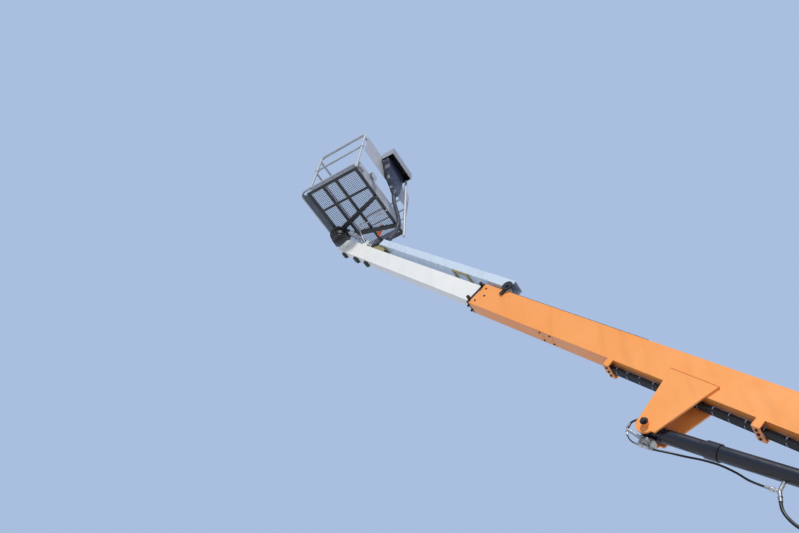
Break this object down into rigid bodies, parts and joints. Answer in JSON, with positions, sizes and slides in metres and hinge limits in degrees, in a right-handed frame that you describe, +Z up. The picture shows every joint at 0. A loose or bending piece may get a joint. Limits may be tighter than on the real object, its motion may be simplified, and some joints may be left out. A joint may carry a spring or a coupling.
{
  "type": "articulating boom lift",
  "caption": "Self-propelled articulating boom lift with a twin-arm riser, telescoping boom, tubular basket, steered axle and slewing turret",
  "frame": {"origin": "ground level, middle of the box from the tail to the basket nose", "axes": "+X from the counterweight to the basket, +Y to the machine's left, +Z up"},
  "size_m": [6.0848, 1.98, 9.57],
  "materials": {
    "orange_paint": "gloss",
    "white_paint": "gloss",
    "dark_paint": "satin",
    "black_steel": "satin",
    "chrome_rod": "polished",
    "grey_tube": "satin",
    "duct_metal": "brushed",
    "olive_paint": "satin",
    "tyre_rubber": "matte",
    "rim_paint": "gloss",
    "hose_rubber": "matte",
    "conduit_plastic": "matte",
    "mesh_steel": "matte",
    "rotator_paint": "satin",
    "console_plastic": "matte",
    "boot_vinyl": "satin",
    "engine_iron": "matte",
    "tank_plastic": "matte"
  },
  "bodies": {
    "chassis": {"chassis_frame": "dark_paint", "rear_axle": "dark_paint", "front_axle": "dark_paint", "slew_ring": "dark_paint"},
    "steer_left": {"steer_knuckle_left": "dark_paint"},
    "steer_right": {"steer_knuckle_right": "dark_paint"},
    "tie_rod": {"tie_rod": "dark_paint"},
    "wheel_fl": {"rim_fl": "rim_paint", "tyre_fl": "tyre_rubber"},
    "wheel_fr": {"rim_fr": "rim_paint", "tyre_fr": "tyre_rubber"},
    "wheel_rl": {"rim_rl": "rim_paint", "tyre_rl": "tyre_rubber"},
    "wheel_rr": {"rim_rr": "rim_paint", "tyre_rr": "tyre_rubber"},
    "turret": {"turret_frame": "dark_paint", "turret_decks": "dark_paint", "counterweight": "dark_paint", "cover_left": "white_paint", "cover_right": "white_paint", "engine_block": "engine_iron", "tanks": "tank_plastic"},
    "door_left": {"door_left": "white_paint"},
    "door_right": {"door_right": "white_paint"},
    "lower_arm": {"lower_arm": "orange_paint"},
    "lower_links": {"lower_links": "dark_paint"},
    "riser_knuckle": {"riser_knuckle": "orange_paint"},
    "upper_arm": {"upper_arm": "orange_paint"},
    "upper_links": {"upper_links": "dark_paint"},
    "upright": {"upright": "orange_paint"},
    "riser_barrels": {"riser_barrels": "black_steel"},
    "riser_rods": {"riser_rods": "chrome_rod"},
    "main_boom": {"outer_boom": "orange_paint", "wear_pads": "black_steel", "hose_bundle": "hose_rubber", "drag_chain": "black_steel", "duct_roller": "black_steel"},
    "fly": {"fly_boom": "white_paint", "tip_pads": "black_steel", "cable_duct": "duct_metal", "duct_brackets": "olive_paint"},
    "lift_barrel": {"lift_barrel": "black_steel", "valve_block": "duct_metal", "ram_hoses": "hose_rubber"},
    "lift_rod": {"lift_rod": "chrome_rod"},
    "level_yoke": {"level_yoke": "dark_paint"},
    "level_barrel": {"level_barrel": "grey_tube"},
    "level_rod": {"level_rod": "chrome_rod"},
    "basket": {"rotator": "rotator_paint", "basket_beams": "dark_paint", "floor_frame": "dark_paint", "guard_tube": "grey_tube", "floor_mesh": "mesh_steel", "kick_plates": "grey_tube", "basket_rails": "grey_tube", "rear_panel": "grey_tube", "console": "console_plastic", "console_cover": "boot_vinyl", "conduit": "conduit_plastic"},
    "entry_bar": {"gravity_bar": "grey_tube"}
  },
  "joints": [
    {"name": "wheel_fl_spin", "type": "hinge", "parent": "steer_left", "child": "wheel_fl", "pos_m": [-0.4825, 0.85, 0.42], "axis": [0, 1, 0], "continuous": true},
    {"name": "wheel_fr_spin", "type": "hinge", "parent": "steer_right", "child": "wheel_fr", "pos_m": [-0.4825, -0.85, 0.42], "axis": [0, 1, 0], "continuous": true},
    {"name": "wheel_rl_spin", "type": "hinge", "parent": "chassis", "child": "wheel_rl", "pos_m": [-2.4825, 0.85, 0.42], "axis": [0, 1, 0], "continuous": true},
    {"name": "wheel_rr_spin", "type": "hinge", "parent": "chassis", "child": "wheel_rr", "pos_m": [-2.4825, -0.85, 0.42], "axis": [0, 1, 0], "continuous": true},
    {"name": "steering", "type": "hinge", "parent": "chassis", "child": "steer_left", "pos_m": [-0.4825, 0.61, 0.42], "axis": [0, 0, 1], "range_deg": [-30, 30]},
    {"name": "steering_right", "type": "hinge", "parent": "chassis", "child": "steer_right", "pos_m": [-0.4825, -0.61, 0.42], "axis": [0, 0, 1], "range_deg": [-30, 30]},
    {"name": "tie_rod_swing", "type": "hinge", "parent": "steer_left", "child": "tie_rod", "pos_m": [-0.6725, 0.61, 0.374], "axis": [0, 0, 1], "range_deg": [-30, 30]},
    {"name": "slew", "type": "hinge", "parent": "chassis", "child": "turret", "pos_m": [-1.4825, 0, 0.745], "axis": [0, 0, 1], "continuous": true},
    {"name": "door_left_open", "type": "hinge", "parent": "turret", "child": "door_left", "pos_m": [-1.7875, 0.962, 1.346], "axis": [1, 0, 0], "range_deg": [0, 95]},
    {"name": "door_right_open", "type": "hinge", "parent": "turret", "child": "door_right", "pos_m": [-1.7875, -0.962, 1.346], "axis": [-1, 0, 0], "range_deg": [0, 95]},
    {"name": "riser_lift", "type": "hinge", "parent": "turret", "child": "lower_arm", "pos_m": [-2.2825, 0, 1], "axis": [0, -1, 0], "range_deg": [0, 70]},
    {"name": "lower_link_swing", "type": "hinge", "parent": "turret", "child": "lower_links", "pos_m": [-2.3525, 0, 1.1], "axis": [0, -1, 0], "range_deg": [0, 70]},
    {"name": "riser_knuckle_swing", "type": "hinge", "parent": "lower_arm", "child": "riser_knuckle", "pos_m": [-0.6325, 0, 1], "axis": [0, -1, 0], "range_deg": [-70, 0]},
    {"name": "upper_arm_swing", "type": "hinge", "parent": "riser_knuckle", "child": "upper_arm", "pos_m": [-0.6325, 0, 1.24], "axis": [0, 1, 0], "range_deg": [0, 70]},
    {"name": "upper_link_swing", "type": "hinge", "parent": "riser_knuckle", "child": "upper_links", "pos_m": [-0.5625, 0, 1.34], "axis": [0, 1, 0], "range_deg": [0, 70]},
    {"name": "upright_swing", "type": "hinge", "parent": "upper_arm", "child": "upright", "pos_m": [-2.4825, 0, 1.24], "axis": [0, 1, 0], "range_deg": [-70, 0]},
    {"name": "riser_barrel_swing", "type": "hinge", "parent": "turret", "child": "riser_barrels", "pos_m": [-1.0025, 0, 0.85], "axis": [0, 1, 0], "range_deg": [0, 5]},
    {"name": "riser_rod_slide", "type": "slide", "parent": "riser_barrels", "child": "riser_rods", "axis": [1, 0, 0], "range_m": [0, 0.14]},
    {"name": "boom_lift", "type": "hinge", "parent": "upright", "child": "main_boom", "pos_m": [-2.4825, 0, 2.15], "axis": [0, -1, 0], "range_deg": [-59.5, 20.5]},
    {"name": "fly_extend", "type": "slide", "parent": "main_boom", "child": "fly", "axis": [0.6494, 0, 0.7604], "range_m": [-2.1, 0]},
    {"name": "lift_barrel_swing", "type": "hinge", "parent": "main_boom", "child": "lift_barrel", "pos_m": [-0.66782, 0, 3.3447], "axis": [0, -1, 0], "range_deg": [-1.65, 4.77]},
    {"name": "lift_rod_slide", "type": "slide", "parent": "lift_barrel", "child": "lift_rod", "axis": [-0.7557, 0, -0.6549], "range_m": [-0.3536, 0.1221]},
    {"name": "platform_level", "type": "hinge", "parent": "fly", "child": "level_yoke", "pos_m": [2.5654, 0, 7.96486], "axis": [0, -1, 0], "range_deg": [-20.5, 59.5]},
    {"name": "level_barrel_swing", "type": "hinge", "parent": "level_yoke", "child": "level_barrel", "pos_m": [2.64173, 0, 8.34679], "axis": [0, -1, 0], "range_deg": [-31.55, 10.88]},
    {"name": "level_rod_slide", "type": "slide", "parent": "level_barrel", "child": "level_rod", "axis": [-0.5627, 0, -0.8266], "range_m": [-0.2082, 0.0721]},
    {"name": "platform_rotate", "type": "hinge", "parent": "level_yoke", "child": "basket", "pos_m": [2.8075, 0, 8.29], "axis": [0, 0, 1], "range_deg": [-80, 80]},
    {"name": "entry_bar_lift", "type": "slide", "parent": "basket", "child": "entry_bar", "axis": [0, 0, 1], "range_m": [0, 0.25]}
  ],
  "couplings": [
    {"joint": "steering_right", "follows": "steering", "ratio": 1},
    {"joint": "tie_rod_swing", "follows": "steering", "ratio": -1},
    {"joint": "lower_link_swing", "follows": "riser_lift", "ratio": 1},
    {"joint": "riser_knuckle_swing", "follows": "riser_lift", "ratio": -1},
    {"joint": "upper_arm_swing", "follows": "riser_lift", "ratio": 1},
    {"joint": "upper_link_swing", "follows": "riser_lift", "ratio": 1},
    {"joint": "upright_swing", "follows": "riser_lift", "ratio": -1},
    {"joint": "riser_barrel_swing", "follows": "riser_lift", "ratio": 0.07071},
    {"joint": "riser_rod_slide", "follows": "riser_lift", "m_per_rad": 0.11189},
    {"joint": "lift_barrel_swing", "follows": "boom_lift", "ratio": -0.08},
    {"joint": "lift_rod_slide", "follows": "boom_lift", "m_per_rad": 0.34},
    {"joint": "platform_level", "follows": "boom_lift", "ratio": -1},
    {"joint": "level_barrel_swing", "follows": "boom_lift", "ratio": 0.53},
    {"joint": "level_rod_slide", "follows": "boom_lift", "m_per_rad": 0.2}
  ]
}
